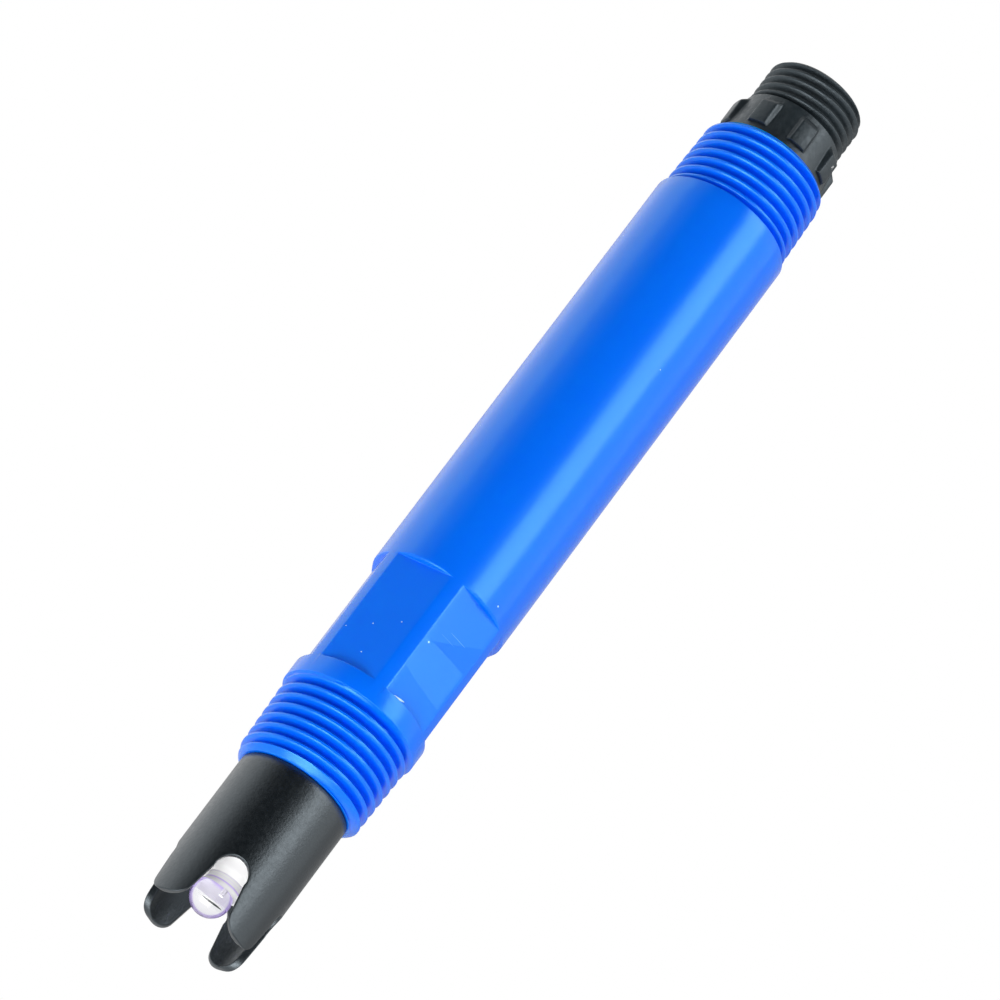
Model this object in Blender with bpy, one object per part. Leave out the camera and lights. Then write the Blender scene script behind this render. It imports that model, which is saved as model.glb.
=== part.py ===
"""Screw-in pH sensor: blue threaded body, black slotted tip guard round a glass bulb, black plug connector.

The sensor stands on its tip: +Z runs along its axis to the connector. The origin is on the axis,
level with the lower face of the collar that the lower pipe thread ends at. The front is -Y.
"""

import math

import bmesh
import bpy
from mathutils import Matrix

MM = 0.001
FRONT = math.radians(-90.0)

# Clearances between neighbours
SEAT_GAP = 0.10 * MM
SLIDE_GAP = 0.30 * MM
CLOSE_GAP = 0.10 * MM
WIRE_GAP = 0.15 * MM

# How far a cutter runs past what it cuts
CUT_PAST = 1.0 * MM

# Blue body
BARREL_R = 11.0 * MM
COLLAR_LENGTH = 3.15 * MM
FLAT_LENGTH = 19.65 * MM
ACROSS_FLATS = 20.0 * MM
FLAT_TURN = math.radians(1.8)
LOWER_THREAD_LENGTH = 13.5 * MM
BARREL_TOP = 98.26 * MM
UPPER_THREAD_LENGTH = 12.81 * MM
BODY_BORE_R = 7.5 * MM

# Pipe threads of the body, 14 turns to the inch
PIPE_PITCH = 25.4 / 14 * MM
PIPE_DEPTH = 1.33 * MM
PIPE_TAPER = 1 / 32
RUN_OUT_SLOPE = 1.9
LOWER_CREST_R = 10.66 * MM
LOWER_CREST_PHASE = 0.0 * MM
UPPER_CREST_R = 10.54 * MM
UPPER_CREST_PHASE = 1.24 * MM
BODY_FOOT_R = 9.2 * MM
BODY_HEAD_R = 9.45 * MM
CHAMFER_SLOPE = 0.95

# Black tip guard
GUARD_R = 8.9 * MM
GUARD_MOUTH_R = 7.9 * MM
GUARD_REACH = 25.2 * MM
SLOT_DEPTH = 9.3 * MM
SLOT_END_R = 2.5 * MM
SLOT_FLARE = math.radians(10.25)
TINE_CORNER_R = 2.5 * MM
SLOT_TURN = math.radians(-3.6)
SHANK_LENGTH = 51.6 * MM
SHANK_CHAMBER_R = 5.0 * MM
HEAD_CHAMBER_R = 6.9 * MM
HEAD_CHAMBER_TOP_WALL = 1.5 * MM
LOWER_ORING_INSET = 5.0 * MM
UPPER_ORING_INSET = 8.6 * MM

# White junction in the guard's mouth
JUNCTION_NOSE = 0.8 * MM
JUNCTION_NOSE_TIP_R = 3.3 * MM
JUNCTION_NOSE_ROOT_R = 3.8 * MM
JUNCTION_LENGTH = 5.4 * MM

# Glass electrode
STEM_R = 2.95 * MM
STEM_BORE_R = 1.25 * MM
STEM_SHOWING = 1.0 * MM
NECK_LENGTH = 2.2 * MM
STEM_BELOW_SHANK_TOP = 4.0 * MM
BULB_R = 3.08 * MM
BULB_WALL = 0.35 * MM
BULB_DROP = 2.9 * MM
BULB_OFFSET = -0.7 * MM
BULB_SHOULDER = math.radians(20)
STEM_LEAN = 0.15

# O-rings
ORING_SECTION_R = 0.5 * MM
JUNCTION_ORING_SECTION_R = 0.7 * MM

# Wires and the temperature element
WIRE_R = 0.25 * MM
LEAD_R = 0.3 * MM
CHAMBER_WIRE_RADIUS = 3.95 * MM
WIRE_RISE_FROM_BULB = 0.6 * MM
REFERENCE_WIRE_FOOT = -20.0 * MM
ELEMENT_R = 0.85 * MM
ELEMENT_LEAD_SPACING = 1.2 * MM
ELEMENT_FOOT = -20.0 * MM
ELEMENT_LENGTH = 14.0 * MM

# Stopper and chamber plug
STOPPER_DEPTH = 6.0 * MM
STOPPER_CAP = 1.5 * MM
PLUG_DEPTH = 7.0 * MM
PLUG_CAP = 2.4 * MM

# Potting round the leads
LEAD_ROOM = 5.5 * MM
LEAD_STRAIGHT = 0.5 * MM
POTTING_BELOW_PLUG = 3.07 * MM

# Connector
RING_FOOT_R = 8.85 * MM
RING_LENGTH = 7.23 * MM
LUG_R = 9.3 * MM
LUG_COUNT = 8
LUG_TURN = math.radians(10.3)
LUG_HALF_TOP = math.radians(8.6)
LUG_HALF_FOOT = math.radians(11.5)
LUG_START = 1.2 * MM
LUG_RISE = 0.5 * MM
RING_TOP_R = 8.15 * MM
LUG_END = 5.2 * MM
LUG_SLOPE = 1.1 * MM
PLUG_THREAD_R = 7.97 * MM
PLUG_THREAD_PITCH = 1.5 * MM
PLUG_THREAD_DEPTH = 0.92 * MM
PLUG_THREAD_LENGTH = 7.3 * MM
PLUG_THREAD_PHASE = 1.15 * MM
SOCKET_R = 6.0 * MM
SOCKET_DEPTH = 6.7 * MM
INSERT_LENGTH = 7.0 * MM
SEAT_BORE_R = 5.2 * MM
PLUG_SHANK_LENGTH = 14.0 * MM
PLUG_ORING_INSET = 7.0 * MM
CONTACT_CIRCLE_R = 3.2 * MM
CONTACT_COUNT = 4
CONTACT_R = 0.9 * MM
CONTACT_HOLE_R = 0.45 * MM
CONTACT_HOLE_DEPTH = 4.5 * MM
CONTACT_TAIL_R = 0.6 * MM
CONTACT_TAIL_LENGTH = 4.0 * MM

# Facets round each kind of piece
BODY_FACETS = 36
GUARD_FACETS = 48
BORE_FACETS = 20
SMALL_FACETS = 10
CORD_FACETS = 6

# Levels that several pieces share
BODY_FOOT = -LOWER_THREAD_LENGTH
BODY_HEAD = BARREL_TOP + UPPER_THREAD_LENGTH
GUARD_SHOULDER = BODY_FOOT - SEAT_GAP
GUARD_TIP = BODY_FOOT - GUARD_REACH
SLOT_ROOT = GUARD_TIP + SLOT_DEPTH
SHANK_TOP = GUARD_SHOULDER + SHANK_LENGTH
SHANK_ORING_LEVELS = (GUARD_SHOULDER + LOWER_ORING_INSET, SHANK_TOP - UPPER_ORING_INSET)
STEM_TOP = SHANK_TOP - STEM_BELOW_SHANK_TOP
SHANK_R = BODY_BORE_R - SLIDE_GAP
JUNCTION_FACE = SLOT_ROOT
NOSE_FOOT = JUNCTION_FACE - JUNCTION_NOSE
JUNCTION_TOP = JUNCTION_FACE + JUNCTION_LENGTH
BULB_CENTRE = NOSE_FOOT - BULB_DROP
PLUG_TOP = SHANK_TOP + SEAT_GAP + PLUG_CAP
POTTING_FOOT = PLUG_TOP + LEAD_ROOM
PLUG_SHANK_FOOT = BODY_HEAD - PLUG_SHANK_LENGTH
POTTING_TOP = PLUG_SHANK_FOOT - POTTING_BELOW_PLUG
RING_FOOT = BODY_HEAD + SEAT_GAP
RING_TOP = RING_FOOT + RING_LENGTH
CONNECTOR_TOP = RING_TOP + PLUG_THREAD_LENGTH
SOCKET_FLOOR = CONNECTOR_TOP - SOCKET_DEPTH
INSERT_SEAT = SOCKET_FLOOR - INSERT_LENGTH
CONTACT_FOOT = INSERT_SEAT - CONTACT_TAIL_LENGTH


def make_material(name, colour, roughness, metallic=0.0, transmission=0.0):
    """A plain Principled material."""
    material = bpy.data.materials.new(name)
    material.use_nodes = True
    shader = material.node_tree.nodes["Principled BSDF"]
    shader.inputs["Base Color"].default_value = (*colour, 1.0)
    shader.inputs["Roughness"].default_value = roughness
    shader.inputs["Metallic"].default_value = metallic
    shader.inputs["Transmission Weight"].default_value = transmission
    material.diffuse_color = (*colour, 1.0)
    return material


def even_angles(count, start=FRONT):
    """Angles of the columns of vertices round a turned piece."""
    return [start + 2 * math.pi * i / count for i in range(count)]


def add_ring(bm, angles, radius, z, centre=(0.0, 0.0)):
    """One ring of vertices; a radius of zero gives the single point on the axis."""
    if radius == 0.0:
        return [bm.verts.new((centre[0], centre[1], z))]
    return [
        bm.verts.new((centre[0] + radius * math.cos(a), centre[1] + radius * math.sin(a), z))
        for a in angles
    ]


def bridge(bm, low, high):
    """The faces between two rings, or between a ring and a point."""
    count = max(len(low), len(high))
    for i in range(count):
        j = (i + 1) % count
        corners = [low[i % len(low)], low[j % len(low)], high[j % len(high)], high[i % len(high)]]
        distinct = list(dict.fromkeys(corners))
        if len(distinct) > 2:
            bm.faces.new(distinct)


def revolve(bm, profile, angles, closed=True, centre=(0.0, 0.0)):
    """Turns a profile of (radius, z) points. A closed one meets itself, an open one ends on the axis."""
    rings = [add_ring(bm, angles, r, z, centre) for r, z in profile]
    for low, high in zip(rings, rings[1:]):
        bridge(bm, low, high)
    if closed:
        bridge(bm, rings[-1], rings[0])


def finish(bm, name, material, smooth_angle=30.0):
    """Turns the bmesh into an object with its faces pointing out."""
    bmesh.ops.remove_doubles(bm, verts=bm.verts, dist=0.0005 * MM)
    bmesh.ops.dissolve_degenerate(bm, edges=bm.edges, dist=0.0005 * MM)
    bmesh.ops.recalc_face_normals(bm, faces=bm.faces)
    mesh = bpy.data.meshes.new(name)
    bm.to_mesh(mesh)
    bm.free()
    mesh.shade_smooth()
    mesh.set_sharp_from_angle(angle=math.radians(smooth_angle))
    mesh.materials.append(material)
    piece = bpy.data.objects.new(name, mesh)
    bpy.context.scene.collection.objects.link(piece)
    return piece


def turned(name, profile, facets, material, closed=True, centre=(0.0, 0.0)):
    """A turned piece in one call."""
    bm = bmesh.new()
    revolve(bm, profile, even_angles(facets), closed, centre)
    return finish(bm, name, material)


def as_cutter(cutter):
    """A helper that cuts others and isn't a piece itself."""
    cutter.hide_render = True
    cutter.display_type = "WIRE"
    return cutter


def cut(piece, cutter):
    """Takes the cutter's shape out of the piece."""
    modifier = piece.modifiers.new("cut " + cutter.name, "BOOLEAN")
    modifier.operation = "DIFFERENCE"
    modifier.solver = "EXACT"
    modifier.object = cutter


def thread_band(bm, angles, pitch, crest_z, low, high, radius_at):
    """A right-handed thread between two rings, with one crest row and one root row to each turn.

    low and high are the (radius, z) rings that it starts and ends on, crest_z is the height of one
    crest at the first column, and radius_at gives the radius for a height and a row's crest share.
    """
    first = math.floor((low[1] - crest_z) / pitch) - 1
    last = math.ceil((high[1] - crest_z) / pitch)
    rows = []
    for turn in range(first, last + 1):
        for share, crest in ((0.0, True), (0.5, False)):
            row = []
            for angle in angles:
                z = crest_z + pitch * (turn + share + (angle - angles[0]) / (2 * math.pi))
                radius = radius_at(z, crest)
                if z <= low[1]:
                    radius, z = low
                if z >= high[1]:
                    radius, z = high
                row.append(bm.verts.new((radius * math.cos(angle), radius * math.sin(angle), z)))
            rows.append(row)
    top = [bm.verts.new((high[0] * math.cos(a), high[0] * math.sin(a), high[1])) for a in angles]
    rows += [top, top, top]
    for k in range(len(rows) - 3):
        for j in range(len(angles)):
            following = (j + 1) % len(angles)
            turn_rows = 2 if following == 0 else 0
            corners = [
                rows[k][j],
                rows[k + turn_rows][following],
                rows[k + 1 + turn_rows][following],
                rows[k + 1][j],
            ]
            distinct = list(dict.fromkeys(corners))
            if len(distinct) > 2 and bm.faces.get(distinct) is None:
                bm.faces.new(distinct)


def pipe_radius(z, crest, large_r, large_z, ends):
    """Radius of a taper thread at a height, held under the chamfer at its free end."""
    radius = large_r - PIPE_TAPER * abs(z - large_z)
    if not crest:
        radius -= PIPE_DEPTH
    end_r, end_z = ends
    return min(radius, end_r + CHAMFER_SLOPE * abs(z - end_z))


def wrench_cutter(material):
    """Everything outside the hexagon, over the length of the wrench flats."""
    corners = even_angles(6, FRONT + FLAT_TURN)
    hexagon_r = ACROSS_FLATS / 2 / math.cos(math.pi / 6)
    outside_r = 2 * BARREL_R
    low, high = COLLAR_LENGTH, COLLAR_LENGTH + FLAT_LENGTH
    bm = bmesh.new()
    revolve(bm, [(outside_r, low), (outside_r, high), (hexagon_r, high), (hexagon_r, low)], corners)
    return as_cutter(finish(bm, "wrench_flats", material))


def make_body(materials):
    """One moulding, bored through: a barrel with wrench flats over its collar and a thread at each end."""
    angles = even_angles(BODY_FACETS)
    bm = bmesh.new()
    lower_end = (BODY_FOOT_R, BODY_FOOT)
    upper_end = (BODY_HEAD_R, BODY_HEAD)
    collar_foot = (BARREL_R, 0.0)
    barrel_top = (BARREL_R, BARREL_TOP)
    upper_crest_z = BARREL_TOP + UPPER_CREST_PHASE

    def lower_radius(z, crest):
        thread_r = pipe_radius(z, crest, LOWER_CREST_R, 0.0, lower_end)
        return max(thread_r, BARREL_R + RUN_OUT_SLOPE * z)

    def upper_radius(z, crest):
        return pipe_radius(z, crest, UPPER_CREST_R, BARREL_TOP, upper_end)

    revolve(bm, [(BODY_BORE_R, BODY_FOOT), lower_end], angles, closed=False)
    thread_band(bm, angles, PIPE_PITCH, LOWER_CREST_PHASE, lower_end, collar_foot, lower_radius)
    revolve(bm, [collar_foot, barrel_top], angles, closed=False)
    thread_band(bm, angles, PIPE_PITCH, upper_crest_z, barrel_top, upper_end, upper_radius)
    inside = [upper_end, (BODY_BORE_R, BODY_HEAD), (BODY_BORE_R, BODY_FOOT)]
    revolve(bm, inside, angles, closed=False)
    body = finish(bm, "sensor_body", materials["body_blue"])
    cut(body, wrench_cutter(materials["body_blue"]))
    return body


def slot_outline():
    """Half outline of one guard slot as (half width, z) points, from its round end to past the tip."""
    steps = 6
    centre_z = SLOT_ROOT - SLOT_END_R
    points = []
    for i in range(steps + 1):
        angle = math.radians(90) - (math.radians(90) + SLOT_FLARE) * i / steps
        points.append((SLOT_END_R * math.cos(angle), centre_z + SLOT_END_R * math.sin(angle)))
    corner_z = GUARD_TIP + TINE_CORNER_R
    tangent_x, tangent_z = points[-1]
    wall_x = tangent_x + (tangent_z - corner_z) * math.tan(SLOT_FLARE)
    corner_x = wall_x + TINE_CORNER_R / math.cos(SLOT_FLARE)
    for i in range(steps + 1):
        angle = math.radians(180) + SLOT_FLARE + (math.radians(90) - SLOT_FLARE) * i / steps
        x = corner_x + TINE_CORNER_R * math.cos(angle)
        points.append((x, corner_z + TINE_CORNER_R * math.sin(angle)))
    points.append((corner_x, GUARD_TIP - CUT_PAST))
    return points


def slot_cutter(name, turn, material):
    """A prism that cuts two opposite slots."""
    half = slot_outline()
    outline = half + [(-x, z) for x, z in reversed(half[1:])]
    reach = GUARD_R + CUT_PAST
    bm = bmesh.new()
    near = [bm.verts.new((x, -reach, z)) for x, z in outline]
    bm.faces.new(near)
    pushed = bmesh.ops.extrude_face_region(bm, geom=bm.faces[:])
    far = [item for item in pushed["geom"] if isinstance(item, bmesh.types.BMVert)]
    bmesh.ops.translate(bm, verts=far, vec=(0.0, 2 * reach, 0.0))
    bmesh.ops.rotate(bm, verts=bm.verts, matrix=Matrix.Rotation(turn, 3, "Z"))
    return as_cutter(finish(bm, name, material))


def groove(radius, middle_z, section_r, outside=True):
    """Profile points of an O-ring groove cut into a wall, going up on the outside, down on the inside."""
    half = section_r + CLOSE_GAP
    depth = 2 * section_r + CLOSE_GAP + CLOSE_GAP - SLIDE_GAP
    floor_r = radius - depth if outside else radius + depth
    low, high = middle_z - half, middle_z + half
    points = [(radius, low), (floor_r, low), (floor_r, high), (radius, high)]
    return points if outside else points[::-1]


def make_guard(materials):
    """Slotted guard, with the chamber tube that goes up inside the body moulded on."""
    ledge_z = JUNCTION_TOP + SEAT_GAP
    neck_z = GUARD_SHOULDER - HEAD_CHAMBER_TOP_WALL
    profile = [(GUARD_R, GUARD_TIP), (GUARD_R, GUARD_SHOULDER), (SHANK_R, GUARD_SHOULDER)]
    for level in SHANK_ORING_LEVELS:
        profile += groove(SHANK_R, level, ORING_SECTION_R)
    profile += [
        (SHANK_R, SHANK_TOP),
        (SHANK_CHAMBER_R, SHANK_TOP),
        (SHANK_CHAMBER_R, neck_z),
        (HEAD_CHAMBER_R, neck_z),
        (HEAD_CHAMBER_R, ledge_z),
        (GUARD_MOUTH_R, ledge_z),
        (GUARD_MOUTH_R, GUARD_TIP),
    ]
    guard = turned("tip_guard", profile, GUARD_FACETS, materials["guard_black"])
    for name, quarter in (("front_back_slots", 0), ("side_slots", 1)):
        turn = SLOT_TURN + quarter * math.radians(90)
        cut(guard, slot_cutter(name, turn, materials["guard_black"]))
    return guard


def make_oring(name, inner_r, middle_z, section_r, materials):
    """A rubber ring whose hole has the given radius."""
    middle_r = inner_r + section_r
    profile = [
        (middle_r + section_r * math.cos(a), middle_z + section_r * math.sin(a))
        for a in even_angles(CORD_FACETS, 0.0)
    ]
    return turned(name, profile, BORE_FACETS, materials["seal_rubber"])


def make_junction(materials):
    """White porous ring that lets the reference chamber touch the sample, with an O-ring seat on top."""
    hole_r = STEM_R + CLOSE_GAP
    outer_r = GUARD_MOUTH_R - CLOSE_GAP
    seat_r = hole_r + 2 * JUNCTION_ORING_SECTION_R + 2 * CLOSE_GAP
    seat_z = JUNCTION_TOP - 2 * JUNCTION_ORING_SECTION_R - CLOSE_GAP
    profile = [
        (hole_r, NOSE_FOOT),
        (JUNCTION_NOSE_TIP_R, NOSE_FOOT),
        (JUNCTION_NOSE_ROOT_R, JUNCTION_FACE),
        (outer_r, JUNCTION_FACE),
        (outer_r, JUNCTION_TOP),
        (seat_r, JUNCTION_TOP),
        (seat_r, seat_z),
        (hole_r, seat_z),
    ]
    turned("reference_junction", profile, GUARD_FACETS, materials["junction_white"])
    ring_z = seat_z + CLOSE_GAP + JUNCTION_ORING_SECTION_R
    make_oring("junction_oring", hole_r, ring_z, JUNCTION_ORING_SECTION_R, materials)


def arc_rings(radius, end_angle, steps):
    """Rings of the bulb's outside or inside as (radius, z, shift), from its foot up to an angle."""
    rings = []
    for i in range(steps + 1):
        angle = math.radians(-90) + (math.radians(90) + end_angle) * i / steps
        ring_r = radius * math.cos(angle) if i else 0.0
        rings.append((ring_r, BULB_CENTRE + radius * math.sin(angle), BULB_OFFSET))
    return rings


def make_glass(materials):
    """Blown bulb, a little off the axis, on its thick stem: one piece of glass, open at the top."""
    angles = even_angles(BORE_FACETS)
    cavity_r = BULB_R - BULB_WALL
    stem_foot = NOSE_FOOT - STEM_SHOWING
    outside = arc_rings(BULB_R, BULB_SHOULDER, 8)
    outside += [
        (STEM_R, stem_foot, BULB_OFFSET * STEM_LEAN),
        (STEM_R, NOSE_FOOT - CLOSE_GAP, 0.0),
        (STEM_R, STEM_TOP, 0.0),
    ]
    inside = arc_rings(cavity_r, math.acos(STEM_BORE_R / cavity_r), 10)
    inside += [(STEM_BORE_R, NOSE_FOOT + NECK_LENGTH, 0.0), (STEM_BORE_R, STEM_TOP, 0.0)]
    bm = bmesh.new()
    rings = [add_ring(bm, angles, radius, z, (shift, 0.0)) for radius, z, shift in outside + inside[::-1]]
    for low, high in zip(rings, rings[1:]):
        bridge(bm, low, high)
    return finish(bm, "glass_electrode", materials["clear_glass"], 50.0)


def make_stopper(materials):
    """Rubber stopper in the top of the stem, bored for the measuring wire and its lead."""
    plug_r = STEM_BORE_R - CLOSE_GAP
    bore_r = LEAD_R + WIRE_GAP
    cap_foot = STEM_TOP + SEAT_GAP
    profile = [
        (bore_r, STEM_TOP - STOPPER_DEPTH),
        (plug_r, STEM_TOP - STOPPER_DEPTH),
        (plug_r, cap_foot),
        (STEM_R, cap_foot),
        (STEM_R, cap_foot + STOPPER_CAP),
        (bore_r, cap_foot + STOPPER_CAP),
    ]
    turned("stem_stopper", profile, BORE_FACETS, materials["seal_rubber"])


def rod(name, radius, foot, top, material, centre=(0.0, 0.0), facets=SMALL_FACETS):
    """A plain round rod along the axis."""
    profile = [(0.0, foot), (radius, foot), (radius, top), (0.0, top)]
    return turned(name, profile, facets, material, closed=False, centre=centre)


def on_circle(radius, angle):
    """A point in plan at an angle from the front."""
    return (radius * math.sin(angle), -radius * math.cos(angle))


def lead_places():
    """Plan positions of the contacts, and so of the leads where they run straight."""
    step = 2 * math.pi / CONTACT_COUNT
    return [on_circle(CONTACT_CIRCLE_R, step / 2 + step * i) for i in range(CONTACT_COUNT)]


def chamber_places():
    """Plan positions of the three things that pass the chamber plug beside the stem."""
    reference = on_circle(CHAMBER_WIRE_RADIUS, math.radians(135))
    spread = math.asin(ELEMENT_LEAD_SPACING / 2 / CHAMBER_WIRE_RADIUS)
    first = on_circle(CHAMBER_WIRE_RADIUS, math.radians(-45) - spread)
    second = on_circle(CHAMBER_WIRE_RADIUS, math.radians(-45) + spread)
    return reference, first, second


def make_wires(materials):
    """Silver wires of the two half cells."""
    foot = BULB_CENTRE + WIRE_RISE_FROM_BULB
    middle = STEM_TOP - STOPPER_DEPTH / 2
    rod("measuring_wire", WIRE_R, foot, middle, materials["silver_wire"])
    reference = chamber_places()[0]
    rod("reference_wire", WIRE_R, REFERENCE_WIRE_FOOT, SHANK_TOP, materials["silver_wire"], reference)


def make_element(materials):
    """Resistance thermometer in a thin closed tube that hangs in the chamber."""
    centre = on_circle(CHAMBER_WIRE_RADIUS, math.radians(-45))
    top = ELEMENT_FOOT + ELEMENT_LENGTH
    rod("temperature_element", ELEMENT_R, ELEMENT_FOOT, top, materials["element_ceramic"], centre)


def make_chamber_plug(materials):
    """Plug that closes the chamber and holds the stem, the reference wire and the element's leads."""
    stem_bore_r = STEM_R + CLOSE_GAP
    plug_r = SHANK_CHAMBER_R - CLOSE_GAP
    cap_foot = SHANK_TOP + SEAT_GAP
    profile = [
        (stem_bore_r, SHANK_TOP - PLUG_DEPTH),
        (plug_r, SHANK_TOP - PLUG_DEPTH),
        (plug_r, cap_foot),
        (SHANK_R, cap_foot),
        (SHANK_R, PLUG_TOP),
        (stem_bore_r, PLUG_TOP),
    ]
    plug = turned("chamber_plug", profile, GUARD_FACETS, materials["plug_plastic"])
    for number, centre in enumerate(chamber_places()):
        drill = rod(
            f"plug_drill_{number + 1}",
            LEAD_R + WIRE_GAP,
            SHANK_TOP - PLUG_DEPTH - CUT_PAST,
            PLUG_TOP + CUT_PAST,
            materials["plug_plastic"],
            centre,
        )
        cut(plug, as_cutter(drill))
    return plug


def make_potting(materials):
    """Resin that fills the middle of the barrel round the four leads."""
    profile = [
        (0.0, POTTING_FOOT),
        (BODY_BORE_R - CLOSE_GAP, POTTING_FOOT),
        (BODY_BORE_R - CLOSE_GAP, POTTING_TOP),
        (0.0, POTTING_TOP),
    ]
    potting = turned("potting", profile, BODY_FACETS, materials["potting_resin"], closed=False)
    for number, centre in enumerate(lead_places()):
        drill = rod(
            f"potting_drill_{number + 1}",
            LEAD_R + WIRE_GAP,
            POTTING_FOOT - CUT_PAST,
            POTTING_TOP + CUT_PAST,
            materials["potting_resin"],
            centre,
        )
        cut(potting, as_cutter(drill))
    return potting


def make_lead(name, start, foot, place, materials):
    """An insulated lead: up from its start, across to its place, then straight to its contact."""
    bend_low = PLUG_TOP + LEAD_STRAIGHT
    bend_high = POTTING_FOOT - LEAD_STRAIGHT
    steps = 4
    points = [(start[0], start[1], foot)]
    for i in range(steps + 1):
        share = i / steps
        ease = share * share * (3 - 2 * share)
        x = start[0] + (place[0] - start[0]) * ease
        y = start[1] + (place[1] - start[1]) * ease
        points.append((x, y, bend_low + (bend_high - bend_low) * share))
    points.append((place[0], place[1], CONTACT_FOOT - SEAT_GAP))
    curve = bpy.data.curves.new(name, "CURVE")
    curve.dimensions = "3D"
    curve.bevel_depth = LEAD_R
    curve.bevel_resolution = 1
    curve.use_fill_caps = True
    spline = curve.splines.new("POLY")
    spline.points.add(len(points) - 1)
    for point, place_3d in zip(spline.points, points):
        point.co = (*place_3d, 1.0)
    curve.materials.append(materials["lead_insulation"])
    lead = bpy.data.objects.new(name, curve)
    bpy.context.scene.collection.objects.link(lead)
    return lead


def make_leads(materials):
    """Four leads from the half cells and the element up to the contacts."""
    reference, first, second = chamber_places()
    places = lead_places()
    element_top = ELEMENT_FOOT + ELEMENT_LENGTH + SEAT_GAP
    wire_top = STEM_TOP - STOPPER_DEPTH / 2 + SEAT_GAP
    make_lead("measuring_lead", (0.0, 0.0), wire_top, places[0], materials)
    make_lead("reference_lead", reference, SHANK_TOP + SEAT_GAP, places[1], materials)
    make_lead("temperature_lead_1", first, element_top, places[2], materials)
    make_lead("temperature_lead_2", second, element_top, places[3], materials)


def lug_columns():
    """Angles round the connector, and for each whether it lies on a lug."""
    columns = []
    step = 2 * math.pi / LUG_COUNT
    for i in range(LUG_COUNT):
        middle = FRONT + LUG_TURN + step * i
        columns += [
            (middle - LUG_HALF_FOOT, False),
            (middle - LUG_HALF_TOP, True),
            (middle + LUG_HALF_TOP, True),
            (middle + LUG_HALF_FOOT, False),
            (middle + step / 2, False),
        ]
    return columns


def add_lug_ring(bm, columns, base_r, lug_r, z):
    """A ring of vertices that stands out at the lugs."""
    ring = []
    for angle, on_lug in columns:
        radius = lug_r if on_lug else base_r
        ring.append(bm.verts.new((radius * math.cos(angle), radius * math.sin(angle), z)))
    return ring


def ring_radius(z):
    """Radius of the tapered ring between its lugs at a height."""
    share = (z - RING_FOOT) / RING_LENGTH
    return RING_FOOT_R + (RING_TOP_R - RING_FOOT_R) * share


def make_connector_shell(materials):
    """Connector moulding: shank with an O-ring groove, tapered ring with grip lugs, threaded socket."""
    columns = lug_columns()
    angles = [angle for angle, _ in columns]
    lug_foot = RING_FOOT + LUG_START
    lug_top = RING_FOOT + LUG_END
    lug_end = lug_top + LUG_SLOPE
    thread_foot = (PLUG_THREAD_R - PLUG_THREAD_DEPTH, RING_TOP)
    thread_top = (PLUG_THREAD_R - PLUG_THREAD_DEPTH / 2, CONNECTOR_TOP)
    bm = bmesh.new()
    shank = [(SEAT_BORE_R, PLUG_SHANK_FOOT), (SHANK_R, PLUG_SHANK_FOOT)]
    shank += groove(SHANK_R, BODY_HEAD - PLUG_ORING_INSET, ORING_SECTION_R)
    shank += [(SHANK_R, RING_FOOT), (RING_FOOT_R, RING_FOOT), (ring_radius(lug_foot), lug_foot)]
    revolve(bm, shank, angles, closed=False)
    lugs = []
    for z, stands_out in ((lug_foot, False), (lug_foot + LUG_RISE, True), (lug_top, True), (lug_end, False)):
        base_r = ring_radius(z)
        lugs.append(add_lug_ring(bm, columns, base_r, LUG_R if stands_out else base_r, z))
    for low, high in zip(lugs, lugs[1:]):
        bridge(bm, low, high)
    neck = [(ring_radius(lug_end), lug_end), (RING_TOP_R, RING_TOP), thread_foot]
    revolve(bm, neck, angles, closed=False)

    def plug_radius(z, crest):
        radius = PLUG_THREAD_R if crest else PLUG_THREAD_R - PLUG_THREAD_DEPTH
        return min(radius, thread_top[0] + (CONNECTOR_TOP - z))

    first_crest = RING_TOP + PLUG_THREAD_PHASE
    thread_band(bm, angles, PLUG_THREAD_PITCH, first_crest, thread_foot, thread_top, plug_radius)
    socket = [
        thread_top,
        (SOCKET_R, CONNECTOR_TOP),
        (SOCKET_R, INSERT_SEAT),
        (SEAT_BORE_R, INSERT_SEAT),
        (SEAT_BORE_R, PLUG_SHANK_FOOT),
    ]
    revolve(bm, socket, angles, closed=False)
    return finish(bm, "connector_shell", materials["connector_black"])


def make_contacts(materials):
    """Insulator disc in the socket with its socket contacts."""
    insert_r = SOCKET_R - CLOSE_GAP
    foot = INSERT_SEAT + SEAT_GAP
    profile = [(0.0, foot), (insert_r, foot), (insert_r, SOCKET_FLOOR), (0.0, SOCKET_FLOOR)]
    insert = turned("connector_insert", profile, BODY_FACETS, materials["insert_plastic"], closed=False)
    contact_top = SOCKET_FLOOR - SEAT_GAP
    hole_foot = contact_top - CONTACT_HOLE_DEPTH
    for number, centre in enumerate(lead_places()):
        drill = rod(
            f"insert_drill_{number + 1}",
            CONTACT_R + CLOSE_GAP,
            foot - CUT_PAST,
            SOCKET_FLOOR + CUT_PAST,
            materials["insert_plastic"],
            centre,
        )
        cut(insert, as_cutter(drill))
        contact = [
            (0.0, CONTACT_FOOT),
            (CONTACT_TAIL_R, CONTACT_FOOT),
            (CONTACT_TAIL_R, foot),
            (CONTACT_R, foot),
            (CONTACT_R, contact_top),
            (CONTACT_HOLE_R, contact_top),
            (CONTACT_HOLE_R, hole_foot),
            (0.0, hole_foot),
        ]
        name = f"contact_{number + 1}"
        turned(name, contact, SMALL_FACETS, materials["contact_gold"], closed=False, centre=centre)


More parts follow.
